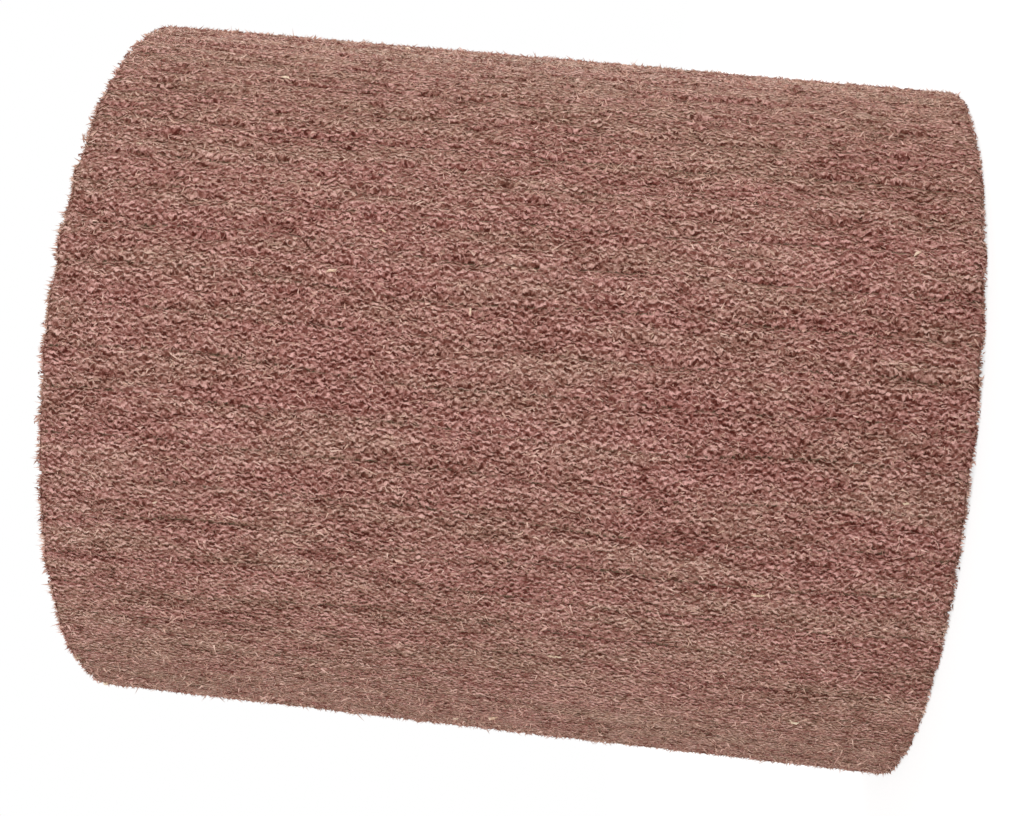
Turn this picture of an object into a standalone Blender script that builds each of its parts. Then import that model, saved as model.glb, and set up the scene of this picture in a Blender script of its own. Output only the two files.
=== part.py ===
"""Non-woven abrasive drum: radial flaps of abrasive fibre web bonded round a keyed core tube.

Metres, +Z up. The drum stands on one of its flat ends, so its axis is +Z and the origin is the
centre of the lower end.
"""

from math import asin, atan2, cos, hypot, radians, sin, tau
from random import Random

import bmesh
import bpy

# Driving dimensions of the drum, in metres
DRUM_DIAMETER = 0.100
DRUM_LENGTH = 0.115

# Core tube: a 19 mm arbor bore with keyways, and lead-ins at both ends
BORE_DIAMETER = 0.019
CORE_WALL = 0.0095
KEYWAY_COUNT = 4
KEYWAY_WIDTH = 0.005
KEYWAY_DEPTH = 0.0025
BORE_LEAD_IN = 0.0008
RIM_CHAMFER = 0.0004

# Flaps: how many stand round the core, and the clearances beside and under each of them
FLAP_COUNT = 58
FLAP_GAP = 0.0003
BOND_GAP = 0.0003

# The springy web lets the flaps' working edges stray sideways in long and short waves
WAVE_HEIGHT = 0.0009
LONG_WAVE = 0.082
SHORT_WAVE = 0.047
SHORT_WAVE_SHARE = 0.4
WAVE_DRIFT = 1.1
WAVE_SEED = 12

# How finely the round and wavy surfaces are cut into facets
STATION_SPACING = 0.0116
ARC_STEP = radians(7)
KEYWAY_FLOOR_STEPS = 4
SMOOTH_ANGLE = radians(30)

# Colours are linear RGB
WEB_COLOUR = (0.279, 0.141, 0.112)
WEB_ROUGHNESS = 0.95
CORE_COLOUR = (0.055, 0.050, 0.047)
CORE_ROUGHNESS = 0.6

# Sizes that follow from the driving ones
DRUM_RADIUS = DRUM_DIAMETER / 2
BORE_RADIUS = BORE_DIAMETER / 2
CORE_RADIUS = BORE_RADIUS + CORE_WALL
ROOT_RADIUS = CORE_RADIUS + BOND_GAP
FLAP_PITCH = tau / FLAP_COUNT


def clear_scene():
    """Remove every object that the scene starts with."""
    for scene_object in list(bpy.data.objects):
        bpy.data.objects.remove(scene_object, do_unlink=True)


def plain_material(name, colour, roughness):
    """A non-metallic Principled material of one colour."""
    material = bpy.data.materials.new(name)
    material.use_nodes = True
    shader = material.node_tree.nodes["Principled BSDF"]
    shader.inputs["Base Color"].default_value = (*colour, 1)
    shader.inputs["Roughness"].default_value = roughness
    shader.inputs["Metallic"].default_value = 0
    material.diffuse_color = (*colour, 1)
    return material


def add_object(name, mesh_edit, material, parent):
    """Turn an edited mesh into a smooth-shaded object under the drum's empty."""
    bmesh.ops.recalc_face_normals(mesh_edit, faces=mesh_edit.faces)
    mesh = bpy.data.meshes.new(name)
    mesh_edit.to_mesh(mesh)
    mesh_edit.free()
    mesh.materials.append(material)
    mesh.shade_smooth()
    mesh.set_sharp_from_angle(angle=SMOOTH_ANGLE)
    new_object = bpy.data.objects.new(name, mesh)
    bpy.context.collection.objects.link(new_object)
    new_object.parent = parent
    return new_object


def polar(radius, angle, height):
    """A point given by its radius, its angle about the drum's axis, and its height."""
    return (radius * cos(angle), radius * sin(angle), height)


# Core tube


def keyed_bore_outline():
    """Radius and angle of each point of the bore's outline, anticlockwise, keyways included."""
    half_width = KEYWAY_WIDTH / 2
    floor_distance = BORE_RADIUS + KEYWAY_DEPTH
    mouth_angle = asin(half_width / BORE_RADIUS)
    sector = tau / KEYWAY_COUNT
    arc_steps = max(1, round((sector - 2 * mouth_angle) / ARC_STEP))
    arc_step = (sector - 2 * mouth_angle) / arc_steps
    outline = []
    for keyway in range(KEYWAY_COUNT):
        middle = keyway * sector
        for step in range(KEYWAY_FLOOR_STEPS + 1):
            across = half_width * (2 * step / KEYWAY_FLOOR_STEPS - 1)
            outline.append((hypot(floor_distance, across), middle + atan2(across, floor_distance)))
        for step in range(arc_steps + 1):
            outline.append((BORE_RADIUS, middle + mouth_angle + step * arc_step))
    return outline


def wall_section(inner_radius):
    """Radius and height of each corner of the tube's wall, cut through its axis."""
    return [
        (inner_radius + BORE_LEAD_IN, 0),
        (CORE_RADIUS - RIM_CHAMFER, 0),
        (CORE_RADIUS, RIM_CHAMFER),
        (CORE_RADIUS, DRUM_LENGTH - RIM_CHAMFER),
        (CORE_RADIUS - RIM_CHAMFER, DRUM_LENGTH),
        (inner_radius + BORE_LEAD_IN, DRUM_LENGTH),
        (inner_radius, DRUM_LENGTH - BORE_LEAD_IN),
        (inner_radius, BORE_LEAD_IN),
    ]


def build_core(material, parent):
    """The tube that slides on the arbor: wall sections stand round the axis and are joined up."""
    mesh_edit = bmesh.new()
    sections = []
    for inner_radius, angle in keyed_bore_outline():
        corners = [polar(radius, angle, height) for radius, height in wall_section(inner_radius)]
        sections.append([mesh_edit.verts.new(corner) for corner in corners])
    for section, following in zip(sections, sections[1:] + sections[:1]):
        for corner in range(len(section)):
            beyond = (corner + 1) % len(section)
            mesh_edit.faces.new(
                (section[corner], section[beyond], following[beyond], following[corner])
            )
    return add_object("core_tube", mesh_edit, material, parent)


# Flaps


def wave_phases():
    """Where each boundary between two flaps starts its long and short wave, in radians."""
    chance = Random(WAVE_SEED)
    long_phase = 0
    phases = []
    for _ in range(FLAP_COUNT):
        long_phase += chance.uniform(-WAVE_DRIFT, WAVE_DRIFT)
        phases.append((long_phase, chance.uniform(0, tau)))
    return phases


def edge_stray(phases, height):
    """How far the working edge at one boundary strays sideways at a height."""
    long_phase, short_phase = phases
    long_part = (1 - SHORT_WAVE_SHARE) * sin(tau * height / LONG_WAVE + long_phase)
    short_part = SHORT_WAVE_SHARE * sin(tau * height / SHORT_WAVE + short_phase)
    return WAVE_HEIGHT * (long_part + short_part)


def flap_section(start_phases, end_phases, height):
    """Five corners of a flap about the +X direction, anticlockwise from its root."""
    start_stray = edge_stray(start_phases, height) / DRUM_RADIUS
    end_stray = edge_stray(end_phases, height) / DRUM_RADIUS
    root_clearance = asin(FLAP_GAP / 2 / ROOT_RADIUS)
    edge_clearance = asin(FLAP_GAP / 2 / DRUM_RADIUS)
    half_pitch = FLAP_PITCH / 2
    start_edge = start_stray + edge_clearance - half_pitch
    end_edge = end_stray - edge_clearance + half_pitch
    return [
        polar(ROOT_RADIUS, root_clearance - half_pitch, height),
        polar(DRUM_RADIUS, start_edge, height),
        polar(DRUM_RADIUS, (start_edge + end_edge) / 2, height),
        polar(DRUM_RADIUS, end_edge, height),
        polar(ROOT_RADIUS, half_pitch - root_clearance, height),
    ]


def add_wall(mesh_edit, low_start, low_end, high_end, high_start):
    """Two triangles, split from the lower point nearer the axis, so that neighbours stay parallel."""
    if low_start.co.xy.length <= low_end.co.xy.length:
        mesh_edit.faces.new((low_start, low_end, high_end))
        mesh_edit.faces.new((low_start, high_end, high_start))
    else:
        mesh_edit.faces.new((low_start, low_end, high_start))
        mesh_edit.faces.new((low_end, high_end, high_start))


def build_flap(number, phases, material, parent):
    """One flap: its section is set at stations up the drum and the stations are joined up."""
    start_phases = phases[number - 1]
    end_phases = phases[number]
    station_steps = max(1, round(DRUM_LENGTH / STATION_SPACING))
    mesh_edit = bmesh.new()
    stations = []
    for step in range(station_steps + 1):
        height = DRUM_LENGTH * step / station_steps
        corners = flap_section(start_phases, end_phases, height)
        stations.append([mesh_edit.verts.new(corner) for corner in corners])
    for low, high in zip(stations, stations[1:]):
        for corner in range(len(low)):
            beyond = (corner + 1) % len(low)
            add_wall(mesh_edit, low[corner], low[beyond], high[beyond], high[corner])
    mesh_edit.faces.new(list(reversed(stations[0])))
    mesh_edit.faces.new(stations[-1])
    flap = add_object(f"flap_{number + 1:02d}", mesh_edit, material, parent)
    flap.rotation_euler.z = number * FLAP_PITCH
    return flap


def build_drum():
    """The whole drum: the core tube and the flaps round it, under one empty on the axis."""
    clear_scene()
    drum = bpy.data.objects.new("drum", None)
    bpy.context.collection.objects.link(drum)
    web = plain_material("abrasive_web", WEB_COLOUR, WEB_ROUGHNESS)
    hard_core = plain_material("hard_core", CORE_COLOUR, CORE_ROUGHNESS)
    build_core(hard_core, drum)
    phases = wave_phases()
    for number in range(FLAP_COUNT):
        build_flap(number, phases, web, drum)


build_drum()
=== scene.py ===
"""Looks of a non-woven abrasive drum: crinkled fibre flaps packed round a hard keyed core tube.

Every length is in metres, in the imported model's own frame: the drum stands on its lower end with
its axis along +Z. The photograph shows it lying, so the camera is rolled to match.
"""

import logging
from dataclasses import dataclass, field
from enum import Enum
from math import cos, pi, radians, sin, tau
from typing import Any, Callable, Iterable, Sequence

import bpy
import numpy as np
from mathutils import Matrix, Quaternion, Vector


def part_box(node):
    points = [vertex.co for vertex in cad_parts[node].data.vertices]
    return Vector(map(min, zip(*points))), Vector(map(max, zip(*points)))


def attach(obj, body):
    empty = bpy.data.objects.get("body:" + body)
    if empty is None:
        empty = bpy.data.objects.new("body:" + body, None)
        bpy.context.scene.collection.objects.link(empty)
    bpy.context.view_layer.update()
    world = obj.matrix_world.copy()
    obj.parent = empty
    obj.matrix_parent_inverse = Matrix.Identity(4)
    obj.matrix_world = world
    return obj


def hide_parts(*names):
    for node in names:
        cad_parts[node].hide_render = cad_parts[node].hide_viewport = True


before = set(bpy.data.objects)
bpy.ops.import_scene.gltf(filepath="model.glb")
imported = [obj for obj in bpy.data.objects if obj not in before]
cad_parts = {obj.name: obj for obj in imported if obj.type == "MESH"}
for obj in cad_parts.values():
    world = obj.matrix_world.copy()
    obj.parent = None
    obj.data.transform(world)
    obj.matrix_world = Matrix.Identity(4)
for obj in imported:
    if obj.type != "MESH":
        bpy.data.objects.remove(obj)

LOG = logging.getLogger("drum")
MM = 0.001
ROOT_BODY = "root"
CORE_NODE = "core_tube"
FLAP_PREFIX = "flap_"
GRAIN = "grain"
FIBRE_SEED = 1000
LENGTH_SPREAD = 0.3

# The web's darkest and palest tones, as read off a screen
WEB_DEEP = (80, 20, 8)
WEB_PALE = (243, 206, 199)

Colour = tuple[float, float, float]
Socket = bpy.types.NodeSocket
Array = np.ndarray
PointIndex = Callable[[int, int, int], int]


def srgb(red: float, green: float, blue: float) -> Colour:
    """Turn a colour as read off a screen, 0 to 255, into linear light."""

    def linear(value: float) -> float:
        """Undo the screen's curve for one channel."""
        share = value / 255
        return share / 12.92 if share <= 0.04045 else ((share + 0.055) / 1.055) ** 2.4

    return (linear(red), linear(green), linear(blue))


WEB_RED = srgb(164, 94, 90)
WEB_OLIVE = srgb(136, 108, 90)
SHEEN_TINT = srgb(228, 214, 172)
SHEEN_ROUGHNESS = 0.45


def web_tone(level: float) -> Colour:
    """The web's colour at a level from its deepest pores, 0, to its palest tips, 1."""
    return srgb(*(deep + (pale - deep) * level for deep, pale in zip(WEB_DEEP, WEB_PALE)))


def web_tones(lowest: float, highest: float, bow: float, steps: int = 6) -> list[tuple[float, Colour]]:
    """Steps of the web's own colour, for a ramp.

    Args:
        lowest: Level of the first step.
        highest: Level of the last step.
        bow: Below 1 the levels rise fast at first, so that only narrow pores stay dark.
        steps: How many steps there are.

    Returns:
        Place from 0 to 1 and colour of each step.
    """
    places = [step / (steps - 1) for step in range(steps)]
    return [(place, web_tone(lowest + (highest - lowest) * place**bow)) for place in places]


class Tint(Enum):
    """The tones that the web's loose fibres come in, from the darkest to the palest."""

    MAROON = "maroon"
    ROSE = "rose"
    TAN = "tan"
    PALE = "pale"
    CREAM = "cream"


class Side(Enum):
    """The faces of a flap that can be seen."""

    WORKING = "working face"
    LOWER = "lower end"
    UPPER = "upper end"


# Seeded noise for the meshes


class LatticeNoise:
    """Smooth three-dimensional noise from a seeded lattice, with values from -1 to 1."""

    def __init__(self, seed: int, cells: int = 48) -> None:
        """Draw the lattice.

        Args:
            seed: Number that fixes the draw.
            cells: How many lattice cells pass before the noise repeats.
        """
        self.cells = cells
        self.values = np.random.default_rng(seed).uniform(-1, 1, (cells, cells, cells))

    def at(self, points: Array) -> Array:
        """Read the noise.

        Args:
            points: Places in lattice cells, three numbers each.

        Returns:
            One value for each place.
        """
        base = np.floor(points).astype(int)
        part = points - base
        part = part * part * (3 - 2 * part)
        total = np.zeros(len(points))
        for corner in range(8):
            step = np.array([corner & 1, corner >> 1 & 1, corner >> 2 & 1])
            index = (base + step) % self.cells
            weight = np.where(step, part, 1 - part).prod(axis=1)
            total += weight * self.values[index[:, 0], index[:, 1], index[:, 2]]
        return total


# Meshes


@dataclass
class MeshParts:
    """Vertices and faces that are gathered from several makers into one mesh."""

    vertices: list[Array] = field(default_factory=list)
    faces: list[tuple[int, ...]] = field(default_factory=list)
    slots: list[int] = field(default_factory=list)
    count: int = 0

    def add(self, vertices: Array, faces: Iterable[Sequence[int]], slot: int) -> None:
        """Add a batch of faces with vertices of their own.

        Args:
            vertices: Places, three numbers each.
            faces: Faces as indices into those vertices.
            slot: Material slot of all these faces.
        """
        shifted = [tuple(index + self.count for index in face) for face in faces]
        self.vertices.append(vertices)
        self.faces.extend(shifted)
        self.slots.extend([slot] * len(shifted))
        self.count += len(vertices)

    def build(self, name: str, materials: Sequence[bpy.types.Material]) -> bpy.types.Object:
        """Make the object.

        Args:
            name: Name of the object and of its mesh.
            materials: One material for each slot.

        Returns:
            The new object, linked into the scene.
        """
        mesh = bpy.data.meshes.new(name)
        mesh.from_pydata(np.concatenate(self.vertices).tolist(), [], self.faces)
        for material in materials:
            mesh.materials.append(material)
        mesh.polygons.foreach_set("material_index", self.slots)
        mesh.polygons.foreach_set("use_smooth", [slot == 0 for slot in self.slots])
        mesh.update()
        made = bpy.data.objects.new(name, mesh)
        bpy.context.scene.collection.objects.link(made)
        return made


def taper_tubes(paths: Array, radii: Array, turn: Array) -> tuple[Array, Array]:
    """Make closed three-sided tubes that end in a point at both ends.

    Args:
        paths: Points along each tube, as tubes by points by three.
        radii: Radius of each tube.
        turn: Unit vector for each tube that its first side leans towards.

    Returns:
        The vertices and the triangles of all the tubes.
    """
    tubes, points, _ = paths.shape
    rings = points - 2
    along = paths[:, 2:] - paths[:, :-2]
    along /= np.linalg.norm(along, axis=2, keepdims=True)
    across = np.cross(along, turn[:, None, :])
    across /= np.linalg.norm(across, axis=2, keepdims=True)
    third = np.cross(along, across)
    corners = []
    for side in range(3):
        angle = tau * side / 3
        lean = cos(angle) * across + sin(angle) * third
        corners.append(paths[:, 1:-1] + radii[:, None, None] * lean)
    ring_points = np.stack(corners, axis=2).reshape(tubes, rings * 3, 3)
    vertices = np.concatenate([paths[:, :1], ring_points, paths[:, -1:]], axis=1)
    pattern = []
    last = 1 + rings * 3
    for side in range(3):
        beyond = (side + 1) % 3
        pattern.append((0, 1 + beyond, 1 + side))
        pattern.append((last, last - 3 + side, last - 3 + beyond))
        for ring in range(rings - 1):
            low = 1 + ring * 3
            high = low + 3
            pattern.append((low + side, low + beyond, high + beyond))
            pattern.append((low + side, high + beyond, high + side))
    first = np.arange(tubes)[:, None, None] * (last + 1)
    triangles = (np.array(pattern)[None] + first).reshape(-1, 3)
    return vertices.reshape(-1, 3), triangles


def spikes(paths: Array, radii: Array, turn: Array) -> tuple[Array, Array]:
    """Make closed spikes, each with a three-cornered foot and a point.

    Args:
        paths: Middle of the foot and tip of each spike, as spikes by two by three.
        radii: Radius of each foot.
        turn: Unit vector for each spike that its first corner leans towards.

    Returns:
        The vertices and the triangles of all the spikes.
    """
    along = paths[:, 1] - paths[:, 0]
    along /= np.linalg.norm(along, axis=1, keepdims=True)
    across = np.cross(along, turn)
    across /= np.linalg.norm(across, axis=1, keepdims=True)
    third = np.cross(along, across)
    corners = [
        paths[:, 0] + radii[:, None] * (cos(angle) * across + sin(angle) * third)
        for angle in (0, tau / 3, 2 * tau / 3)
    ]
    vertices = np.stack([*corners, paths[:, 1]], axis=1)
    pattern = np.array([(0, 1, 3), (1, 2, 3), (2, 0, 3), (0, 2, 1)])
    triangles = (pattern[None] + np.arange(len(paths))[:, None, None] * 4).reshape(-1, 3)
    return vertices.reshape(-1, 3), triangles


# Shader nodes


class NodeSketch:
    """Adds nodes to one node tree and joins them up."""

    def __init__(self, tree: bpy.types.NodeTree) -> None:
        """Keep the tree to draw in."""
        self.tree = tree

    def add(self, kind: str, feeds: dict[Any, Any] | None = None, **settings: Any) -> bpy.types.Node:
        """Add one node.

        Args:
            kind: Blender's name for the node, without its ShaderNode prefix.
            feeds: What goes into its inputs: a socket to join, or a plain value.
            settings: Properties of the node.

        Returns:
            The new node.
        """
        node = self.tree.nodes.new("ShaderNode" + kind)
        for name, value in settings.items():
            setattr(node, name, value)
        for name, value in (feeds or {}).items():
            if isinstance(value, Socket):
                self.tree.links.new(value, node.inputs[name])
            else:
                node.inputs[name].default_value = value
        return node

    def maths(self, operation: str, *values: Any, clamp: bool = False) -> Socket:
        """Add a Math node and return its result."""
        feeds = dict(enumerate(values))
        return self.add("Math", feeds, operation=operation, use_clamp=clamp).outputs[0]

    def vector_maths(self, operation: str, *values: Any) -> Socket:
        """Add a Vector Math node and return its vector."""
        return self.add("VectorMath", dict(enumerate(values)), operation=operation).outputs[0]

    def remap(self, value: Socket, low: float, high: float, to_low: float = 0, to_high: float = 1) -> Socket:
        """Carry a range of values smoothly onto another, held at its ends.

        Args:
            value: The value to carry over.
            low: Start of its range.
            high: End of its range.
            to_low: What the start becomes.
            to_high: What the end becomes.

        Returns:
            The carried value.
        """
        feeds = {"Value": value, "From Min": low, "From Max": high, "To Min": to_low, "To Max": to_high}
        return self.add("MapRange", feeds, interpolation_type="SMOOTHSTEP").outputs[0]

    def noise(self, vector: Socket, scale: float, detail: float = 2, roughness: float = 0.5) -> Socket:
        """Add a Noise Texture and return its value."""
        feeds = {"Vector": vector, "Scale": scale, "Detail": detail, "Roughness": roughness}
        return self.add("TexNoise", feeds).outputs["Fac"]

    def mix(self, share: Any, first: Any, second: Any, blend: str = "MIX") -> Socket:
        """Blend two colours.

        Args:
            share: How much of the second colour shows.
            first: Colour or socket under it.
            second: Colour or socket over it.
            blend: Blender's name for the way they mix.

        Returns:
            The mixed colour.
        """
        node = self.tree.nodes.new("ShaderNodeMix")
        node.data_type = "RGBA"
        node.blend_type = blend
        for socket, value in ((node.inputs[0], share), (node.inputs[6], first), (node.inputs[7], second)):
            if isinstance(value, Socket):
                self.tree.links.new(value, socket)
            else:
                socket.default_value = (*value, 1) if isinstance(value, tuple) else value
        return node.outputs[2]

    def grey(self, value: Socket) -> Socket:
        """Turn a number into a grey colour."""
        return self.add("CombineColor", {0: value, 1: value, 2: value}).outputs[0]

    def ramp(self, value: Socket, stops: Sequence[tuple[float, Colour]]) -> Socket:
        """Turn a value into a colour along a few stops."""
        node = self.add("ValToRGB", {"Fac": value})
        elements = node.color_ramp.elements
        while len(elements) < len(stops):
            elements.new(0.5)
        for element, (place, colour) in zip(elements, stops):
            element.position = place
            element.color = (*colour, 1)
        return node.outputs[0]


def open_group(
    name: str, inputs: dict[str, tuple[str, float]], outputs: dict[str, str]
) -> tuple[bpy.types.NodeTree, bpy.types.Node, bpy.types.Node]:
    """Start a shader node group.

    Args:
        name: Name of the group.
        inputs: Name of each input, with its socket kind and default value.
        outputs: Name of each output, with its socket kind.

    Returns:
        The group, the node that brings its inputs, and the node that takes its outputs.
    """
    group = bpy.data.node_groups.new(name, "ShaderNodeTree")
    for label, (kind, default) in inputs.items():
        socket = group.interface.new_socket(label, in_out="INPUT", socket_type="NodeSocket" + kind)
        if kind == "Float":
            socket.default_value = default
    for label, kind in outputs.items():
        group.interface.new_socket(label, in_out="OUTPUT", socket_type="NodeSocket" + kind)
    return group, group.nodes.new("NodeGroupInput"), group.nodes.new("NodeGroupOutput")


@dataclass(frozen=True)
class FibreSheet:
    """One sheet of fibres in the web: how wide and long its crests look, how they lean, how much shows."""

    width: float
    length: float
    lean: float
    share: float


FIBRE_SHEETS = (
    FibreSheet(width=0.37 * MM, length=0.78 * MM, lean=radians(14), share=0.45),
    FibreSheet(width=0.38 * MM, length=0.66 * MM, lean=radians(-24), share=0.4),
    FibreSheet(width=0.42 * MM, length=0.52 * MM, lean=radians(50), share=0.25),
)
SHEET_SHIFT = (17.0, 5.0, 3.0)
CRINKLE_SCALE = 2300
CRINKLE_REACH = (0.7 * MM, 0.4 * MM, 0.6 * MM)
# Painted shade: the dark pore beside each fibre crest lies this far to one side of it
PAINTED_SHADE_OFFSET = (0.24 * MM, 0, 0)
CREST_RANGE = (0.29, 0.71)
TONE_STRETCH = (1 / (0.45 * MM), 1 / (0.9 * MM), 1 / MM)
TONE_RANGE = (0.25, 0.75)
PATCH_WIDTH = 3.6 * MM
PATCH_LENGTH = 22 * MM
PATCH_RANGE = (0.36, 0.64)
GRIT_SCALE = 7000


def from_axis(sketch: NodeSketch, place: Socket) -> Socket:
    """How far a place lies from the drum's axis."""
    parts = sketch.add("SeparateXYZ", {0: place})
    flat = sketch.add("CombineXYZ", {0: parts.outputs[0], 1: parts.outputs[1]})
    return sketch.add("VectorMath", {0: flat.outputs[0]}, operation="LENGTH").outputs["Value"]


def fibre_mat_group() -> bpy.types.NodeTree:
    """Sheets of crinkled fibres laid over each other: pale crests with dark pores beside them.

    Returns:
        A group that takes a place in the web's own grain and gives the height of the fibres and a
        tone that changes from fibre to fibre.
    """
    group, source, target = open_group(
        "fibre_mat", {"Grain": ("Vector", 0)}, {"Height": "Float", "Tone": "Float"}
    )
    sketch = NodeSketch(group)
    grain = source.outputs["Grain"]
    crinkle = sketch.add("TexNoise", {"Vector": grain, "Scale": CRINKLE_SCALE, "Detail": 1}).outputs["Color"]
    centred = sketch.vector_maths("SUBTRACT", crinkle, (0.5, 0.5, 0.5))
    strayed = sketch.vector_maths("MULTIPLY", centred, CRINKLE_REACH)
    place = sketch.vector_maths("ADD", grain, strayed)
    # Painted light and shade: each crest is set against the place a little to one side, so its pale,
    # lit-looking side and its dark, shaded-looking pore always lie the same way, as under a lamp from one
    # side
    beside = sketch.vector_maths("ADD", place, PAINTED_SHADE_OFFSET)
    height: Socket | float = 0.5
    for number, sheet in enumerate(FIBRE_SHEETS):
        here, next_to = (sheet_level(sketch, spot, sheet, number) for spot in (place, beside))
        crest = sketch.maths("SUBTRACT", here, next_to)
        height = sketch.maths("MULTIPLY_ADD", crest, sheet.share, height)
    tone = sketch.noise(sketch.vector_maths("MULTIPLY", place, TONE_STRETCH), 1, detail=1)
    group.links.new(sketch.remap(height, *CREST_RANGE), target.inputs["Height"])
    group.links.new(tone, target.inputs["Tone"])
    return group


def sheet_level(sketch: NodeSketch, place: Socket, sheet: FibreSheet, number: int) -> Socket:
    """How high one sheet of fibres lies at a place in the grain."""
    turned = sketch.add("VectorRotate", {"Vector": place, "Angle": sheet.lean}, rotation_type="Z_AXIS")
    stretch = (1 / sheet.width, 1 / sheet.length, 1 / sheet.width)
    scaled = sketch.vector_maths("MULTIPLY", turned.outputs[0], stretch)
    shifted = sketch.vector_maths("ADD", scaled, tuple(step * number for step in SHEET_SHIFT))
    return sketch.noise(shifted, 1, detail=0)


def patches_group() -> bpy.types.NodeTree:
    """Broad patches where the web leans to one colour or another.

    Returns:
        A group that takes a place in the grain and the size of the patches, and gives a mask.
    """
    group, source, target = open_group(
        "patches",
        {"Grain": ("Vector", 0), "Width": ("Float", PATCH_WIDTH), "Length": ("Float", PATCH_LENGTH)},
        {"Mask": "Float"},
    )
    sketch = NodeSketch(group)
    inverse_width = sketch.maths("DIVIDE", 1.0, source.outputs["Width"])
    inverse_length = sketch.maths("DIVIDE", 1.0, source.outputs["Length"])
    stretch = sketch.add("CombineXYZ", {0: inverse_width, 1: inverse_length, 2: inverse_width}).outputs[0]
    scaled = sketch.vector_maths("MULTIPLY", source.outputs["Grain"], stretch)
    mask = sketch.remap(sketch.noise(scaled, 1, detail=3, roughness=0.6), *PATCH_RANGE)
    group.links.new(mask, target.inputs["Mask"])
    return group


def grit_group() -> bpy.types.NodeTree:
    """Fine abrasive grains that lie on everything in the web.

    Returns:
        A group that takes a place and a strength, and gives a factor round 1 to multiply a colour by.
    """
    group, source, target = open_group(
        "grit", {"Place": ("Vector", 0), "Strength": ("Float", 0.3)}, {"Factor": "Float"}
    )
    sketch = NodeSketch(group)
    grains = sketch.noise(source.outputs["Place"], GRIT_SCALE, detail=1)
    centred = sketch.maths("SUBTRACT", grains, 0.5)
    factor = sketch.maths("MULTIPLY_ADD", centred, source.outputs["Strength"], 1.0)
    group.links.new(factor, target.inputs["Factor"])
    return group


class Effects:
    """The node groups that the materials place, each built once."""

    def __init__(self) -> None:
        """Build the groups."""
        self.fibre_mat = fibre_mat_group()
        self.patches = patches_group()
        self.grit = grit_group()


def place_group(sketch: NodeSketch, group: bpy.types.NodeTree, feeds: dict[str, Any]) -> bpy.types.Node:
    """Place a node group in a material and feed its inputs."""
    node = sketch.add("Group", node_tree=group)
    for name, value in feeds.items():
        if isinstance(value, Socket):
            sketch.tree.links.new(value, node.inputs[name])
        else:
            node.inputs[name].default_value = value
    return node


def new_material(name: str, roughness: float, specular: float) -> tuple[bpy.types.Material, NodeSketch, Any]:
    """Start a material.

    Args:
        name: Name of the material.
        roughness: Roughness set on the shader.
        specular: Specular level set on the shader.

    Returns:
        The material, a sketch of its nodes, and its Principled shader.
    """
    material = bpy.data.materials.new(name)
    material.use_nodes = True
    shader = material.node_tree.nodes["Principled BSDF"]
    shader.inputs["Roughness"].default_value = roughness
    shader.inputs["Specular IOR Level"].default_value = specular
    return material, NodeSketch(material.node_tree), shader


def add_sheen(shader: Any, weight: float) -> None:
    """Give a shader the soft glow that short fibre ends have where they are seen edge-on."""
    shader.inputs["Sheen Weight"].default_value = weight
    shader.inputs["Sheen Roughness"].default_value = SHEEN_ROUGHNESS
    shader.inputs["Sheen Tint"].default_value = (*SHEEN_TINT, 1)


# Finishes


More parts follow.
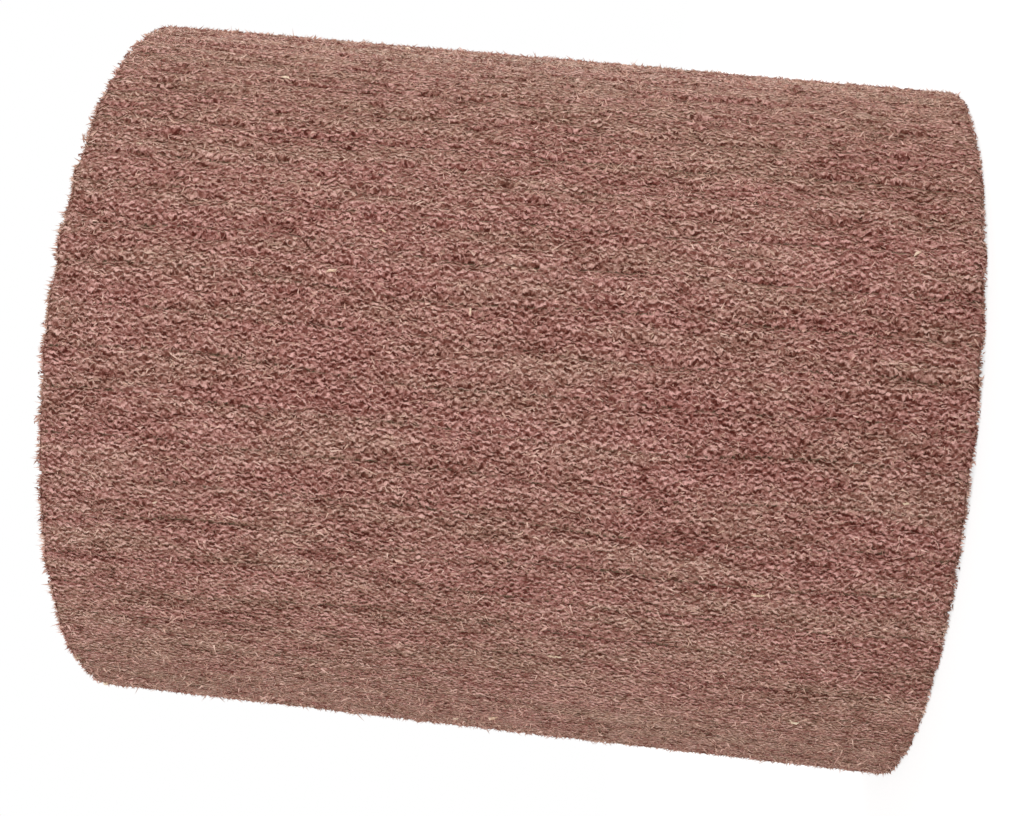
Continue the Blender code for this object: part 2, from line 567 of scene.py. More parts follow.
@dataclass(frozen=True)
class WebFinish:
    """Body of the abrasive web: crinkled fibres over dark pores, in reddish and olive patches.

    The shade of a place, from 0 to 1, is the height of its fibre times shade_share, plus shade_lift,
    the unevenness from fibre to fibre and painted shade in pits. The height paints high crests pale, as
    if lit, and the pores beside them dark, as if shaded; pits are painted darker the deeper they lie.
    """

    deepest: float = -0.02
    palest: float = 0.89
    tone_bow: float = 0.8
    hue_share: float = 0.27
    resin: Colour = srgb(70, 44, 34)
    roughness: float = 0.85
    specular: float = 0.12
    sheen: float = 0.35
    bump: float = 1.0
    relief: float = 0.26 * MM
    resin_reach: float = 3.0 * MM
    resin_fade: tuple[float, float] = (1.4, 0.6)
    resin_scale: float = 500
    grit: float = 0.9
    shade_share: float = 0.85
    shade_lift: float = 0.085
    unevenness: float = 0.14
    # Painted shade: places that lie deeper below the drum's true surface are painted darker
    pore_depth: float = 0.35 * MM
    pore_shade: float = 0.14

    def material(self, effects: Effects, core_radius: float) -> bpy.types.Material:
        """Build the material.

        Args:
            effects: The shared node groups.
            core_radius: Outer radius of the core tube, where the web is soaked with adhesive.

        Returns:
            The material for the body of each flap.
        """
        material, sketch, shader = new_material("abrasive_web_body", self.roughness, self.specular)
        add_sheen(shader, self.sheen)
        links = sketch.tree.links
        grain = sketch.add("Attribute", attribute_name=GRAIN).outputs["Vector"]
        mat = place_group(sketch, effects.fibre_mat, {"Grain": grain})
        patch = place_group(sketch, effects.patches, {"Grain": grain})
        place = sketch.add("TexCoord").outputs["Object"]
        grit = place_group(sketch, effects.grit, {"Place": place, "Strength": self.grit})
        height = mat.outputs["Height"]
        spread = sketch.remap(mat.outputs["Tone"], *TONE_RANGE, -self.unevenness, self.unevenness)
        # Painted shade: the deeper a place lies below the drum's true surface, the darker its colour, as
        # shade falls in pits and grooves
        deep = sketch.add("SeparateXYZ", {0: grain}).outputs[2]
        sunk = sketch.remap(deep, -self.pore_depth, self.pore_depth, self.pore_shade, -self.pore_shade)
        level = sketch.maths("ADD", sketch.maths("ADD", spread, sunk), self.shade_lift)
        shade = sketch.maths("MULTIPLY_ADD", height, self.shade_share, level, clamp=True)
        # Painted light and shade: the ramp turns high crests pale, as if lit, and low pores dark, as if
        # shaded
        fibres = sketch.ramp(shade, web_tones(self.deepest, self.palest, self.tone_bow))
        hue = sketch.mix(patch.outputs["Mask"], WEB_OLIVE, WEB_RED)
        tinted = sketch.mix(self.hue_share, fibres, sketch.mix(1.0, fibres, hue, "COLOR"))
        gritty = sketch.mix(1.0, tinted, sketch.grey(grit.outputs["Factor"]), "MULTIPLY")
        soaked = self._resin_mask(sketch, place, core_radius)
        links.new(sketch.mix(soaked, gritty, self.resin), shader.inputs["Base Color"])
        bump = sketch.add("Bump", {"Strength": self.bump, "Distance": self.relief, "Height": height})
        links.new(bump.outputs["Normal"], shader.inputs["Normal"])
        return material

    def _resin_mask(self, sketch: NodeSketch, place: Socket, core_radius: float) -> Socket:
        """Mask of the roots, where adhesive has soaked into the web beside the core."""
        noise = sketch.noise(place, self.resin_scale)
        ragged = sketch.maths("MULTIPLY_ADD", noise, self.resin_reach, from_axis(sketch, place))
        dry, soaked = (core_radius + self.resin_reach * share for share in self.resin_fade)
        return sketch.remap(ragged, dry, soaked)


@dataclass(frozen=True)
class StrandFinish:
    """One tone of loose strand: coated fibre, dull, a little uneven along its length."""

    tint: Tint
    light: Colour
    dark: Colour
    hue_share: float = 0.2
    roughness: float = 0.8
    specular: float = 0.12
    sheen: float = 0.35
    grit: float = 0.8
    uneven_scale: float = 900
    uneven_range: tuple[float, float] = (0.3, 0.7)

    def material(self, effects: Effects) -> bpy.types.Material:
        """Build the material for strands of this tone."""
        name = f"abrasive_strand_{self.tint.value}"
        material, sketch, shader = new_material(name, self.roughness, self.specular)
        add_sheen(shader, self.sheen)
        grain = sketch.add("Attribute", attribute_name=GRAIN).outputs["Vector"]
        patch = place_group(sketch, effects.patches, {"Grain": grain})
        place = sketch.add("TexCoord").outputs["Object"]
        uneven = sketch.remap(sketch.noise(place, self.uneven_scale, detail=2), *self.uneven_range)
        grit = place_group(sketch, effects.grit, {"Place": place, "Strength": self.grit})
        plain = sketch.mix(uneven, self.dark, self.light)
        hue = sketch.mix(patch.outputs["Mask"], WEB_OLIVE, WEB_RED)
        colour = sketch.mix(self.hue_share, plain, sketch.mix(1.0, plain, hue, "COLOR"))
        gritty = sketch.mix(1.0, colour, sketch.grey(grit.outputs["Factor"]), "MULTIPLY")
        sketch.tree.links.new(gritty, shader.inputs["Base Color"])
        return material


STRAND_FINISHES = (
    StrandFinish(Tint.MAROON, light=web_tone(0.38), dark=web_tone(0.12)),
    StrandFinish(Tint.ROSE, light=web_tone(0.66), dark=web_tone(0.44)),
    StrandFinish(Tint.TAN, light=srgb(212, 176, 160), dark=srgb(156, 118, 102)),
    StrandFinish(Tint.PALE, light=srgb(238, 208, 194), dark=srgb(204, 168, 150)),
    StrandFinish(Tint.CREAM, light=srgb(250, 238, 214), dark=srgb(228, 208, 176)),
)


@dataclass(frozen=True)
class CoreFinish:
    """Hard moulded core tube: charcoal, dull, with faint turning marks on its ends."""

    base: Colour = srgb(64, 60, 58)
    worn: Colour = srgb(96, 90, 86)
    roughness: float = 0.55
    specular: float = 0.4
    wear: float = 0.4
    wear_scale: float = 160
    wear_range: tuple[float, float] = (0.35, 0.7)
    grit: float = 0.5
    ring_pitch: float = 0.5 * MM
    ring_share: float = 0.3
    mark_scale: float = 1500
    mark_depth: float = 0.06 * MM
    bump: float = 0.35

    def material(self, effects: Effects) -> bpy.types.Material:
        """Build the material for the core tube."""
        material, sketch, shader = new_material("hard_core_moulded", self.roughness, self.specular)
        links = sketch.tree.links
        place = sketch.add("TexCoord").outputs["Object"]
        clouds = sketch.noise(place, self.wear_scale, detail=4, roughness=0.6)
        worn = sketch.maths("MULTIPLY", sketch.remap(clouds, *self.wear_range), self.wear)
        grit = place_group(sketch, effects.grit, {"Place": place, "Strength": self.grit})
        colour = sketch.mix(worn, self.base, self.worn)
        factor = sketch.grey(grit.outputs["Factor"])
        links.new(sketch.mix(1.0, colour, factor, "MULTIPLY"), shader.inputs["Base Color"])
        turns = sketch.maths("MULTIPLY", from_axis(sketch, place), tau / self.ring_pitch)
        rings = sketch.maths("SINE", turns)
        marks = sketch.maths("MULTIPLY_ADD", rings, self.ring_share, sketch.noise(place, self.mark_scale))
        bump = sketch.add("Bump", {"Strength": self.bump, "Distance": self.mark_depth, "Height": marks})
        links.new(bump.outputs["Normal"], shader.inputs["Normal"])
        return material


# Pieces

# How far a vertex may lie from the height of its station, and from the drum's end
STATION_SLACK = 0.05 * MM
END_SLACK = 0.01 * MM


@dataclass(frozen=True)
class FlapOutline:
    """Where the two side walls of a flap meet its working face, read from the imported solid.

    The walls are known at a row of stations along the axis, which heights lists.
    """

    number: int
    number_beyond: int
    middle: float
    heights: Array
    start: Array
    end: Array
    drum_radius: float
    root_radius: float
    half_pitch: float

    @classmethod
    def read(cls, node: str, number: int, flaps: int) -> "FlapOutline":
        """Read a flap's outline from its CAD node.

        Args:
            node: Name of the CAD node.
            number: Place of the flap round the drum, from 0.
            flaps: How many flaps there are.

        Returns:
            The outline, with angles counted from the flap's middle. The clearance that the solids
            keep is closed, because the real flaps press on each other.
        """
        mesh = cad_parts[node].data
        points = np.empty(len(mesh.vertices) * 3)
        mesh.vertices.foreach_get("co", points)
        points = np.unique(points.reshape(-1, 3).round(7), axis=0)
        radius = np.hypot(points[:, 0], points[:, 1])
        middle = float(np.arctan2(points[:, 1].mean(), points[:, 0].mean()))
        angle = (np.arctan2(points[:, 1], points[:, 0]) - middle + pi) % tau - pi
        outer = radius > (radius.min() + radius.max()) / 2
        heights = np.unique(points[:, 2].round(5))
        at_height = np.abs(points[:, 2][None] - heights[:, None]) < STATION_SLACK
        start = np.array([angle[outer & level].min() for level in at_height])
        end = np.array([angle[outer & level].max() for level in at_height])
        root_middle = float(angle[~outer].max() + angle[~outer].min()) / 2
        root_half = float(angle[~outer].max() - angle[~outer].min()) / 2
        half_gap = (pi / flaps - root_half) * radius.min() / radius.max()
        return cls(
            number, (number + 1) % flaps, middle + root_middle, heights, start - root_middle - half_gap,
            end - root_middle + half_gap, float(radius.max()), float(radius.min()), pi / flaps,
        )

    def edges_at(self, heights: Array) -> tuple[Array, Array]:
        """Angles of both side walls at other heights, on smooth curves through the stations."""
        return smooth_curve(self.heights, self.start, heights), smooth_curve(self.heights, self.end, heights)


def smooth_curve(stations: Array, values: Array, wanted: Array) -> Array:
    """Read a smooth curve that passes through evenly spaced stations.

    Args:
        stations: Where the values are known, rising.
        values: The values there.
        wanted: Where to read the curve.

    Returns:
        The curve's values.
    """
    slopes = np.gradient(values, stations)
    index = np.clip(np.searchsorted(stations, wanted, side="right") - 1, 0, len(stations) - 2)
    width = stations[index + 1] - stations[index]
    t = (wanted - stations[index]) / width
    rise = values[index + 1] - values[index]
    start_slope = slopes[index] * width
    end_slope = slopes[index + 1] * width
    bend = t * (1 - t) * ((1 - t) * (start_slope - rise) - t * (end_slope - rise))
    return values[index] + rise * t + bend


@dataclass
class Relief:
    """The web's uneven surface: clumps, pits, and grooves where flaps meet.

    The whole numbers that are added to places read the one noise far apart, so that its uses
    don't resemble each other.
    """

    clump_height: float = 0.11 * MM
    clump_width: float = 0.85 * MM
    clump_length: float = 2.6 * MM
    fine_share: float = 0.8
    swell_height: float = 0.1 * MM
    swell_width: float = 2.4 * MM
    swell_length: float = 18.0 * MM
    pit_depth: float = 0.2 * MM
    pit_start: float = 0.35
    pit_slope: float = 0.4
    groove_depth: float = 0.28 * MM
    groove_width: float = 0.55 * MM
    groove_length: float = 9.0 * MM
    groove_least: float = 0.1
    groove_gain: float = 1.4
    groove_apart: float = 3.7
    end_depth: float = 0.45 * MM
    end_swell: float = 0.35 * MM
    end_width: float = 3.2 * MM
    end_least: float = 0.05 * MM
    tuft_width: float = 0.6 * MM
    tuft_share: float = 0.6
    noise: LatticeNoise = field(default_factory=lambda: LatticeNoise(seed=41))

    def radial(self, points: Array, from_boundary: Array, boundary: Array) -> Array:
        """How far the working face stands proud of the drum's true radius.

        Args:
            points: Places on the true cylinder.
            from_boundary: Distance of each place from the nearest boundary between flaps.
            boundary: A number for that boundary.

        Returns:
            The rise at each place, negative in pits and grooves.
        """
        clumps, fine = self._clumps(points)
        swells = self.noise.at(self._stretched(points, self.swell_width, self.swell_length) + 7)
        pits = np.clip((-clumps - self.pit_start) / self.pit_slope, 0, 1)
        along = points[:, 2] / self.groove_length
        places = np.stack([along, boundary * self.groove_apart, np.full(len(along), 5.0)], axis=1)
        openness = self.noise.at(places)
        opening = np.clip(self.groove_least + self.groove_gain * openness, self.groove_least, 1)
        groove = np.exp(-((from_boundary / self.groove_width) ** 2)) * opening
        rise = self.clump_height * (clumps + self.fine_share * fine) + self.swell_height * swells
        return rise - self.pit_depth * pits - self.groove_depth * groove

    def exposure(self, points: Array) -> Array:
        """How far each place stands out among the clumps round it, from about -1 to 1."""
        # Fibres are painted paler the more their place stands out, as if lit, and darker in hollows, as if
        # shaded
        return np.sum(self._clumps(points), axis=0)

    def _clumps(self, points: Array) -> tuple[Array, Array]:
        """The clumps at each place, and the finer clumps on them."""
        clumps = self.noise.at(self._stretched(points, self.clump_width, self.clump_length))
        fine = self.noise.at(self._stretched(points, self.clump_width / 2, self.clump_length / 2) + 19)
        return clumps, fine

    def end_sink(self, points: Array) -> Array:
        """How far an end face lies below its true plane, which its fibre ends reach."""
        flat = points * np.array([1, 1, 0])
        clumps = self.noise.at(flat / self.clump_width + 11)
        swells = self.noise.at(flat / self.end_width + 23)
        sink = self.end_depth + self.clump_height * clumps + self.end_swell * swells
        return np.maximum(sink, self.end_least)

    def growth(self, points: Array) -> Array:
        """How long the fibre ends at each place are, as a share of their usual length."""
        tufts = self.noise.at(points.reshape(-1, 3) / self.tuft_width + 31).reshape(points.shape[:-1])
        return 1 + self.tuft_share * tufts

    @staticmethod
    def _stretched(points: Array, width: float, length: float) -> Array:
        """Places in lattice cells that are longer along the drum's axis."""
        return points / np.array([width, width, length])


@dataclass(frozen=True)
class StrandStyle:
    """A loose strand that lies along a face, crinkled, mostly arched with both ends in the web.

    A free strand has one end in the web, and the other rises to free_rise times the arch.
    """

    length: float = 1.05 * MM
    radius: float = 0.1 * MM
    lean: float = radians(34)
    arch: float = 0.12 * MM
    stray: float = 0.14 * MM
    free_share: float = 0.1
    free_rise: float = 1.6
    wag: float = 0.4
    curl: float = 0.9 * MM
    depth: float = 0.07 * MM
    points: int = 4

    def shape(self, chance: np.random.Generator, count: int) -> tuple[Array, Array, Array]:
        """Draw strands on a flat face.

        Args:
            chance: Source of seeded draws.
            count: How many strands.

        Returns:
            How far every point of every strand lies across the grain, along it and out of the face.
        """
        share = np.linspace(-0.5, 0.5, self.points)
        length = self.length * np.exp(chance.normal(0, LENGTH_SPREAD, (count, 1)))
        lean = chance.normal(0, self.lean, (count, 1))
        bend = chance.normal(0, self.stray, (count, 2))
        waves = tau * share * length / self.curl + chance.uniform(0, tau, (count, 1))
        free = chance.random((count, 1)) < self.free_share
        arch = self.arch * chance.gamma(2.0, 0.5, (count, 1))
        along = length * share * np.cos(lean) + self.wag * bend[:, 1:] * np.cos(waves)
        across = length * share * np.sin(lean) + bend[:, :1] * np.sin(waves)
        lift = arch * np.where(free, (share + 0.5) * self.free_rise, np.cos(pi * share)) - self.depth
        return across, along, lift

    def mesh(self, paths: Array, radii: Array, turn: Array) -> tuple[Array, Array]:
        """Give the strands their thickness."""
        return taper_tubes(paths, radii, turn)


@dataclass(frozen=True)
class FuzzStyle:
    """A short fibre end that leans out of a face, mostly along the grain."""

    length: float = 0.7 * MM
    radius: float = 0.13 * MM
    lean: float = radians(62)
    lean_spread: float = radians(9)
    sideways: float = 0.6
    depth: float = 0.09 * MM

    def shape(self, chance: np.random.Generator, count: int) -> tuple[Array, Array, Array]:
        """Draw fibre ends on a flat face.

        Args:
            chance: Source of seeded draws.
            count: How many fibre ends.

        Returns:
            How far foot and tip of every fibre end lie across the grain, along it and out of the face.
        """
        share = np.array([0.0, 1.0])
        length = self.length * np.exp(chance.normal(0, LENGTH_SPREAD, (count, 1)))
        lean = chance.normal(self.lean, self.lean_spread, (count, 1))
        heading = chance.uniform(0, tau, (count, 1))
        reach = length * share * np.sin(lean)
        across = self.sideways * reach * np.cos(heading)
        along = reach * np.sin(heading)
        lift = length * share * np.abs(np.cos(lean)) - self.depth
        return across, along, lift

    def mesh(self, paths: Array, radii: Array, turn: Array) -> tuple[Array, Array]:
        """Give the fibre ends their thickness."""
        return spikes(paths, radii, turn)


@dataclass(frozen=True)
class Coat:
    """One kind of fibre on one face of a flap, all over it or in a band beside the rim.

    The shares say how many of its fibres have each tone, from the darkest to the palest.
    """

    side: Side
    style: StrandStyle | FuzzStyle
    density: float
    shares: tuple[float, float, float, float, float]
    rim_band: float | None = None


RIM_FUZZ = FuzzStyle(length=0.62 * MM, radius=0.14 * MM, lean=radians(35), lean_spread=radians(20))
WEB_SHARES = (0.30, 0.28, 0.30, 0.12, 0.0)
# Painted light: the fuzz beside the rims takes paler tones than the web's, standing for light glowing through
# fibres seen edge-on at the outline
RIM_LIT_SHARES = (0.08, 0.2, 0.46, 0.26, 0.0)
LINT_SHARES = (0.0, 0.0, 0.0, 0.0, 1.0)
COATS = (
    Coat(Side.WORKING, StrandStyle(), density=0.2, shares=WEB_SHARES),
    Coat(Side.WORKING, StrandStyle(length=1.3 * MM, radius=0.2 * MM), density=0.0012, shares=LINT_SHARES),
    Coat(Side.WORKING, FuzzStyle(), density=2.2, shares=WEB_SHARES),
    *(
        Coat(side, StrandStyle(lean=radians(45)), density=0.25, shares=WEB_SHARES)
        for side in (Side.LOWER, Side.UPPER)
    ),
    *(
        Coat(side, FuzzStyle(lean=radians(50)), density=1.5, shares=WEB_SHARES)
        for side in (Side.LOWER, Side.UPPER)
    ),
    *(
        Coat(side, RIM_FUZZ, density=34.0, shares=RIM_LIT_SHARES, rim_band=1.0 * MM)
        for side in (Side.LOWER, Side.UPPER)
    ),
)


@dataclass
class Flap:
    """One flap of abrasive web, with the loose fibres that stand on the faces that show."""

    node: str
    outline: FlapOutline
    relief: Relief
    drum_length: float
    columns: int = 14
    rows: int = 140
    end_rows: int = 18
    first_end_row: float = 0.02
    wall_break: int = 7
    rim_round: float = 0.2 * MM
    rim_reach: float = 1.2 * MM
    proud: float = 0.3 * MM
    rim_gap: float = 0.04 * MM
    glue_reach: float = 2.0 * MM
    end_grain: float = 0.7
    radius_spread: float = 0.25
    # Painted light: a fibre that rises higher takes a paler tone
    lit_paleness_lift: float = 0.25 * MM
    pale_spread: float = 0.5

    def build(self, web: bpy.types.Material, strands: Sequence[bpy.types.Material]) -> bpy.types.Object:
        """Build the flap, let it ride on the drum and stand for its CAD node.

        Args:
            web: Material of the body.
            strands: Materials of the strands, one for each tone.

        Returns:
            The finished piece.
        """
        parts = MeshParts()
        body_vertices, body_faces = self._body()
        parts.add(body_vertices, body_faces, slot=0)
        self._add_fibres(parts)
        piece = parts.build(self.node + "_web", [web, *strands])
        self._store_grain(piece.data, parts.slots)
        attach(piece, ROOT_BODY)
        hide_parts(self.node)
        return piece

    def _grid_angles(self, heights: Array) -> Array:
        """Angles across the working face at each height, as heights by columns."""
        start, end = self.outline.edges_at(heights)
        share = np.linspace(0, 1, self.columns + 1)
        return start[:, None] * (1 - share) + end[:, None] * share

    def _place(self, radius: Array, angle: Array, height: Array) -> Array:
        """Turn radius, angle from the flap's middle, and height into places."""
        turned = angle + self.outline.middle
        return np.stack([radius * np.cos(turned), radius * np.sin(turned), height], axis=-1)

    def _working_radius(self, angle: Array, height: Array) -> Array:
        """Radius of the uneven working face at given angles and heights."""
        start, end = self.outline.edges_at(height)
        to_start = (angle - start) * self.outline.drum_radius
        to_end = (end - angle) * self.outline.drum_radius
        boundary = np.where(to_start < to_end, self.outline.number, self.outline.number_beyond)
        true_radius = np.full(angle.shape, self.outline.drum_radius)
        points = self._place(true_radius, angle, height)
        rise = self.relief.radial(points, np.minimum(to_start, to_end), boundary)
        to_end_face = np.minimum(height, self.drum_length - height)
        rounding = self.rim_round * np.clip(1 - to_end_face / self.rim_reach, 0, 1) ** 2
        return true_radius + rise - rounding

    def _body(self) -> tuple[Array, list[tuple[int, ...]]]:
        """Shell of the flap: working face, side walls, root face and both end faces.

        Returns:
            The vertices and the faces.
        """
        outline = self.outline
        heights = np.linspace(0, self.drum_length, self.rows + 1)
        angles = self._grid_angles(heights)
        flat_heights = np.repeat(heights, self.columns + 1)
        radius = self._working_radius(angles.ravel(), flat_heights).reshape(angles.shape)
        columns = self.columns + 1
        depth = outline.drum_radius - outline.root_radius
        share_in = np.concatenate([[0], np.geomspace(self.first_end_row, 1, self.end_rows)])
        true_radius = outline.drum_radius - depth * share_in
        root_angles = np.linspace(-outline.half_pitch, outline.half_pitch, columns)

        def section(level: int) -> tuple[Array, Array]:
            """Radius and angle of every point of the flap's section at one height."""
            blend = share_in[:, None]
            edge = (outline.drum_radius / true_radius)[:, None] * (1 - blend)
            bend = angles[level][None] * edge + root_angles[None] * (1 - edge)
            ring = radius[level][None] * (1 - blend) + outline.root_radius * blend
            return ring, bend

        vertices: list[Array] = []
        index: dict[tuple[int, int, int], int] = {}

        def point(level: int, inward: int, column: int) -> int:
            """Index of a shared vertex, made when it is first asked for."""
            key = (level, inward, column)
            if key not in index:
                ring, bend = sections[level]
                place = self._place(ring[inward, column], bend[inward, column], heights[level])
                index[key] = len(vertices)
                vertices.append(place)
            return index[key]

        sections = [section(level) for level in range(self.rows + 1)]
        faces: list[tuple[int, ...]] = []
        wall_steps = (0, self.wall_break, self.end_rows)
        for low in range(self.rows):
            high = low + 1
            for column in range(self.columns):
                beyond = column + 1
                faces.append(tuple(point(*key) for key in (
                    (low, 0, column), (low, 0, beyond), (high, 0, beyond), (high, 0, column))))
            for outer, inner in zip(wall_steps, wall_steps[1:]):
                last = self.columns
                faces.append(self._wall(point, low, high, outer, inner, last))
                faces.append(tuple(reversed(self._wall(point, low, high, outer, inner, 0))))
            root = self.end_rows
            low_run = [point(low, root, column) for column in self._root_columns(low)]
            high_run = [point(high, root, column) for column in self._root_columns(high)]
            faces.append(tuple(low_run[::-1] + high_run))
        for level in (0, self.rows):
            for inward in range(self.end_rows):
                for column in range(self.columns):
                    corners = (
                        point(level, inward, column), point(level, inward + 1, column),
                        point(level, inward + 1, column + 1), point(level, inward, column + 1),
                    )
                    faces.append(corners if level else tuple(reversed(corners)))
        return self._sunk_ends(np.array(vertices)), faces

    def _wall(
        self, point: PointIndex, low: int, high: int, outer: int, inner: int, column: int
    ) -> tuple[int, ...]:
        """One stretch of side wall; at the drum's ends it takes in the end face's own points."""
        low_run = range(outer, inner + 1) if low == 0 else (outer, inner)
        high_run = range(outer, inner + 1) if high == self.rows else (outer, inner)
        below = [point(low, inward, column) for inward in low_run]
        above = [point(high, inward, column) for inward in high_run]
        return tuple(below + above[::-1])

    def _root_columns(self, level: int) -> Sequence[int]:
        """Columns of the root face's edge: all of them at the drum's ends, else the outer two."""
        return range(self.columns + 1) if level in (0, self.rows) else (0, self.columns)

    def _end_sink(self, places: Array) -> Array:
        """How far the end face lies below its true plane: nothing at the core, where it is glued."""
        radius = np.hypot(places[..., 0], places[..., 1])
        hold = np.clip((radius - self.outline.root_radius) / self.glue_reach, 0, 1)
        sink = self.relief.end_sink(places.reshape(-1, 3)).reshape(places.shape[:-1])
        return sink * hold

    def _sunk_ends(self, places: Array) -> Array:
        """Let both end faces sink unevenly below their true planes."""
        sink = self._end_sink(places)
        low = places[:, 2] < END_SLACK
        high = places[:, 2] > self.drum_length - END_SLACK
        places[:, 2] += np.where(low, sink, 0) - np.where(high, sink, 0)
        return places

    def _grains(self, places: Array) -> tuple[Array, Array]:
        """Place of each vertex in the grain: across it, along it, and how deep it lies.

        The end faces' grain runs out from the axis. It lies a metre off, clear of the side's.

        Returns:
            One array for the working face and walls, and one for the end faces.
        """
        outline = self.outline
        radius = np.hypot(places[:, 0], places[:, 1])
        angle = (np.arctan2(places[:, 1], places[:, 0]) - outline.middle + pi) % tau - pi
        whole = angle + outline.number * 2 * outline.half_pitch
        inward = outline.drum_radius - radius
        # How deep a place lies also sets the painted shade of pits in the web's material
        side = np.stack([outline.drum_radius * whole + inward, places[:, 2], inward], axis=1)
        sunk = np.minimum(places[:, 2], self.drum_length - places[:, 2]) - self.relief.end_depth
        end = np.stack([self.end_grain * outline.drum_radius * whole, radius + 1, sunk], axis=1)
        return side, end

    def _store_grain(self, mesh: bpy.types.Mesh, slots: Sequence[int]) -> None:
        """Write the grain to the mesh's corners.

        Args:
            mesh: The flap's mesh.
            slots: Material slot of each face: 0 for the body, more for fibres.
        """
        places = np.empty(len(mesh.vertices) * 3, dtype=np.float32)
        mesh.vertices.foreach_get("co", places)
        corner_vertex = np.empty(len(mesh.loops), dtype=np.int32)
        mesh.loops.foreach_get("vertex_index", corner_vertex)
        normals, centres = (np.empty(len(mesh.polygons) * 3, dtype=np.float32) for _ in range(2))
        mesh.polygons.foreach_get("normal", normals)
        mesh.polygons.foreach_get("center", centres)
        totals = np.empty(len(mesh.polygons), dtype=np.int32)
        mesh.polygons.foreach_get("loop_total", totals)
        steep = np.abs(normals.reshape(-1, 3)[:, 2]) > 0.7
        inside = np.hypot(*centres.reshape(-1, 3)[:, :2].T) < self.outline.drum_radius - MM
        on_end = np.repeat(np.where(np.array(slots) == 0, steep, inside), totals)
        side, end = self._grains(places.reshape(-1, 3))
        values = np.where(on_end[:, None], end[corner_vertex], side[corner_vertex])
        attribute = mesh.attributes.new(GRAIN, "FLOAT_VECTOR", "CORNER")
        attribute.data.foreach_set("vector", values.astype(np.float32).ravel())

    def _add_fibres(self, parts: MeshParts) -> None:
        """Stand loose fibres of every coat and tone on the faces that show."""
        chance = np.random.default_rng(FIBRE_SEED + self.outline.number)
        for coat in COATS:
            count = int(chance.poisson(self._area(coat) / MM**2 * coat.density))
            across, along, lift = coat.style.shape(chance, count)
            if coat.side is Side.WORKING:
                paths = self._on_working_face(chance, across, along, lift)
            else:
                paths = self._on_end_face(chance, coat, across, along, lift)
            radii = coat.style.radius * np.exp(chance.normal(0, self.radius_spread, count))
            turn = chance.normal(size=(count, 3))
            turn /= np.linalg.norm(turn, axis=1, keepdims=True)
            # Painted light and shade: fibres that rise higher or stand on clumps take the paler tones, as if
            # lit, and those low in hollows the darker ones, as if shaded; a random spread mixes the tones as
            # well
            highest = lift.max(axis=1) / self.lit_paleness_lift
            lit_and_random_paleness = self.relief.exposure(paths[:, 0]) + highest + chance.normal(0, self.pale_spread, count)
            bounds = np.round(count * np.cumsum(coat.shares)).astype(int)
            for slot, chosen in enumerate(np.split(np.argsort(lit_and_random_paleness), bounds[:-1]), start=1):
                vertices, triangles = coat.style.mesh(paths[chosen], radii[chosen], turn[chosen])
                vertices[:, 2] = np.maximum(vertices[:, 2], self.rim_gap)
                parts.add(vertices, triangles.tolist(), slot)

    def _area(self, coat: Coat) -> float:
        """Area of the face, or of the band beside its rim, that a coat covers."""
        width = float((self.outline.end - self.outline.start).mean())
        outer, root = self.outline.drum_radius, self.outline.root_radius
        if coat.side is Side.WORKING:
            return outer * width * self.drum_length
        if coat.rim_band:
            return outer * width * coat.rim_band
        return width * (outer**2 - root**2) / 2

    def _on_working_face(
        self, chance: np.random.Generator, across: Array, along: Array, lift: Array
    ) -> Array:
        """Scatter fibres over the working face.

        Args:
            chance: Source of seeded draws.
            across: How far each point lies across the grain from its fibre's middle.
            along: How far it lies along the grain.
            lift: How far it stands out of the face.

        Returns:
            The fibres' paths.
        """
        count = len(across)
        middle = chance.uniform(0, self.drum_length, count)
        start, end = self.outline.edges_at(middle)
        spot = chance.random(count)
        angle = (start * (1 - spot) + end * spot)[:, None] + across / self.outline.drum_radius
        height = np.clip(middle[:, None] + along, self.rim_gap, self.drum_length - self.rim_gap + self.proud)
        on_face = np.clip(height, 0, self.drum_length)
        surface = self._working_radius(angle.ravel(), on_face.ravel()).reshape(angle.shape)
        return self._place(surface + lift, angle, height)

    def _on_end_face(
        self, chance: np.random.Generator, coat: Coat, across: Array, along: Array, lift: Array
    ) -> Array:
        """Scatter fibres over an end face, or over a band beside its rim.

        Args:
            chance: Source of seeded draws.
            coat: The coat, which names the end and the band.
            across: How far each point lies across the grain from its fibre's middle.
            along: How far it lies along the grain, which runs out from the axis.
            lift: How far it stands out of the face.

        Returns:
            The fibres' paths.
        """
        count = len(across)
        outer, root = self.outline.drum_radius, self.outline.root_radius
        inner = outer - coat.rim_band if coat.rim_band else root
        spot = outer * np.sqrt(chance.uniform((inner / outer) ** 2, 1, count))
        level = 0.0 if coat.side is Side.LOWER else self.drum_length
        start, end = self.outline.edges_at(np.array([level]))
        reach = (spot - root) / (outer - root)
        half = self.outline.half_pitch * (1 - reach) + (end - start) / 2 * reach
        centre = (start + end) / 2 * reach
        middle = centre + half * chance.uniform(-1, 1, count)
        rim = self._working_radius(middle, np.full(count, level)) - self.rim_gap
        radius = np.clip((root + reach * (rim - root))[:, None] + along, root, outer + self.proud)
        angle = middle[:, None] + across / radius
        true_place = self._place(radius, angle, np.full(radius.shape, level))
        out = lift * self.relief.growth(true_place) - self._end_sink(true_place)
        if coat.side is Side.LOWER:
            return self._place(radius, angle, np.maximum(self.rim_gap, -out))
        return self._place(radius, angle, level + out)


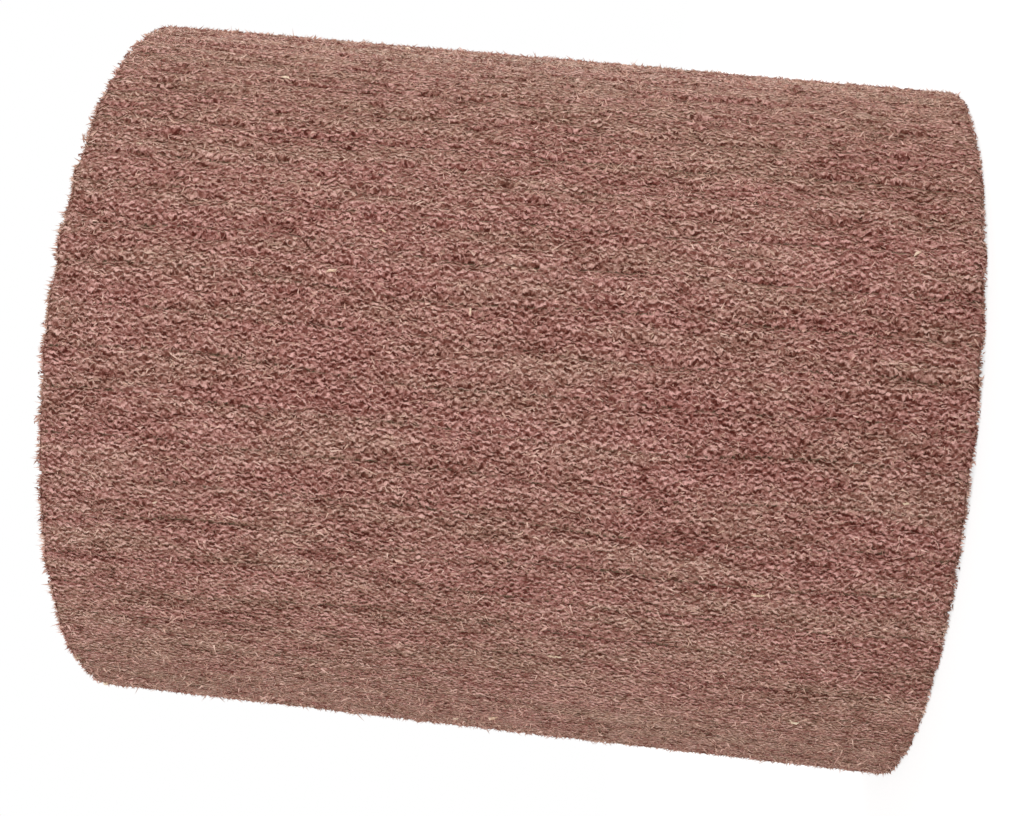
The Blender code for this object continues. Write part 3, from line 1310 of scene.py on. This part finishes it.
@dataclass
class FlapPack:
    """All the flaps round the core."""

    effects: Effects
    relief: Relief = field(default_factory=Relief)
    web: WebFinish = field(default_factory=WebFinish)

    def build(self) -> list[bpy.types.Object]:
        """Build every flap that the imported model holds.

        Returns:
            The pieces, in their order round the drum.
        """
        core_low, core_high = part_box(CORE_NODE)
        body = self.web.material(self.effects, core_high.x)
        strands = [finish.material(self.effects) for finish in STRAND_FINISHES]
        names = sorted(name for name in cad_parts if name.startswith(FLAP_PREFIX))
        pieces = []
        for number, name in enumerate(names):
            outline = FlapOutline.read(name, number, len(names))
            flap = Flap(name, outline, self.relief, core_high.z - core_low.z)
            pieces.append(flap.build(body, strands))
        return pieces


@dataclass
class CoreTube:
    """The hard core tube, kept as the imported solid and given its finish."""

    effects: Effects
    finish: CoreFinish = field(default_factory=CoreFinish)

    def build(self) -> bpy.types.Object:
        """Dress the CAD node and return it."""
        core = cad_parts[CORE_NODE]
        material = self.finish.material(self.effects)
        for slot in core.material_slots:
            slot.material = material
        return core


# Studio


@dataclass(frozen=True)
class Lamp:
    """A large soft square lamp that points at the drum."""

    name: str
    place: tuple[float, float, float]
    size: float
    power: float

    def build(self, aim: tuple[float, float, float]) -> None:
        """Hang the lamp.

        Args:
            aim: The place that it points at.
        """
        data = bpy.data.lights.new(self.name, "AREA")
        data.shape = "SQUARE"
        data.size = self.size
        data.energy = self.power
        lamp = bpy.data.objects.new(self.name, data)
        bpy.context.scene.collection.objects.link(lamp)
        lamp.location = self.place
        way = Vector(aim) - Vector(self.place)
        lamp.rotation_mode = "QUATERNION"
        lamp.rotation_quaternion = way.to_track_quat("-Z", "Y")


@dataclass(frozen=True)
class Studio:
    """Pale floor, soft light, and the camera at the photograph's angle."""

    floor_radius: float = 4.0
    floor_colour: Colour = (0.86, 0.86, 0.86)
    floor_glow: float = 1.3
    floor_glow_share: float = 0.6
    world_light: float = 0.78
    lamps: tuple[Lamp, ...] = (
        Lamp("key", (0.12, -0.93, 0.3), size=0.7, power=2.65),
        Lamp("edge", (0.7, 0.88, 0.15), size=0.5, power=14.0),
    )
    camera_place: tuple[float, float, float] = (-0.00133, -0.24838, 0.04139)
    camera_aim: tuple[float, float, float] = (-0.00224, 0.0, 0.05944)
    camera_roll: float = radians(84.22)
    focal_pixels: float = 1637.4
    image_width: int = 1024
    sensor_width: float = 36.0

    def build(self) -> None:
        """Set up floor, world, lamps, camera and colour handling."""
        self._floor()
        self._world()
        for lamp in self.lamps:
            lamp.build(self.camera_aim)
        self._camera()
        bpy.context.scene.view_settings.view_transform = "Standard"

    def _floor(self) -> None:
        """A wide pale disc under the drum that keeps its shadow."""
        steps = 96
        ring = [(self.floor_radius * cos(tau * k / steps), self.floor_radius * sin(tau * k / steps), 0.0)
                for k in range(steps)]
        mesh = bpy.data.meshes.new("floor")
        mesh.from_pydata(ring, [], [tuple(range(steps))])
        floor = bpy.data.objects.new("floor", mesh)
        bpy.context.scene.collection.objects.link(floor)
        material, sketch, shader = new_material("pale_floor", 0.9, 0.1)
        links = sketch.tree.links
        shader.inputs["Base Color"].default_value = (*self.floor_colour, 1)
        glow = sketch.add("Emission", {"Color": (1, 1, 1, 1), "Strength": self.floor_glow})
        share = sketch.maths("MULTIPLY", self._plain_rays(sketch), self.floor_glow_share)
        blend = sketch.add("MixShader", {0: share, 1: shader.outputs[0], 2: glow.outputs[0]})
        links.new(blend.outputs[0], sketch.tree.nodes["Material Output"].inputs["Surface"])
        mesh.materials.append(material)

    @staticmethod
    def _plain_rays(sketch: NodeSketch) -> Socket:
        """One for rays from the camera, a mirror or clear glass, and zero for light that fills."""
        path = sketch.add("LightPath")
        seen = sketch.maths("MAXIMUM", path.outputs["Is Camera Ray"], path.outputs["Is Glossy Ray"])
        return sketch.maths("MAXIMUM", seen, path.outputs["Is Transmission Ray"])

    def _world(self) -> None:
        """Even light from all round, which the camera sees as white."""
        world = bpy.data.worlds.new("studio")
        world.use_nodes = True
        bpy.context.scene.world = world
        sketch = NodeSketch(world.node_tree)
        background = world.node_tree.nodes["Background"]
        background.inputs["Color"].default_value = (1, 1, 1, 1)
        strength = sketch.maths(
            "MULTIPLY_ADD", self._plain_rays(sketch), 1 - self.world_light, self.world_light
        )
        world.node_tree.links.new(strength, background.inputs["Strength"])

    def _camera(self) -> None:
        """The camera, rolled so that the standing drum lies as in the photograph."""
        data = bpy.data.cameras.new("camera")
        data.sensor_width = self.sensor_width
        data.lens = self.focal_pixels / self.image_width * self.sensor_width
        data.clip_start = 0.01
        data.clip_end = 20
        camera = bpy.data.objects.new("camera", data)
        bpy.context.scene.collection.objects.link(camera)
        camera.location = self.camera_place
        look = Vector(self.camera_aim) - Vector(self.camera_place)
        roll = Quaternion(look.normalized(), self.camera_roll)
        camera.rotation_mode = "QUATERNION"
        camera.rotation_quaternion = roll @ look.to_track_quat("-Z", "Y")
        bpy.context.scene.camera = camera


def main() -> None:
    """Build every piece in order and report each one."""
    logging.basicConfig(level=logging.INFO, format="%(name)s: %(message)s")
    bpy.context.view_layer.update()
    effects = Effects()
    core = CoreTube(effects).build()
    LOG.info("%s dressed", core.name)
    for piece in FlapPack(effects).build():
        LOG.info("%s built with %d faces", piece.name, len(piece.data.polygons))
    Studio().build()


if __name__ == "__main__":
    main()
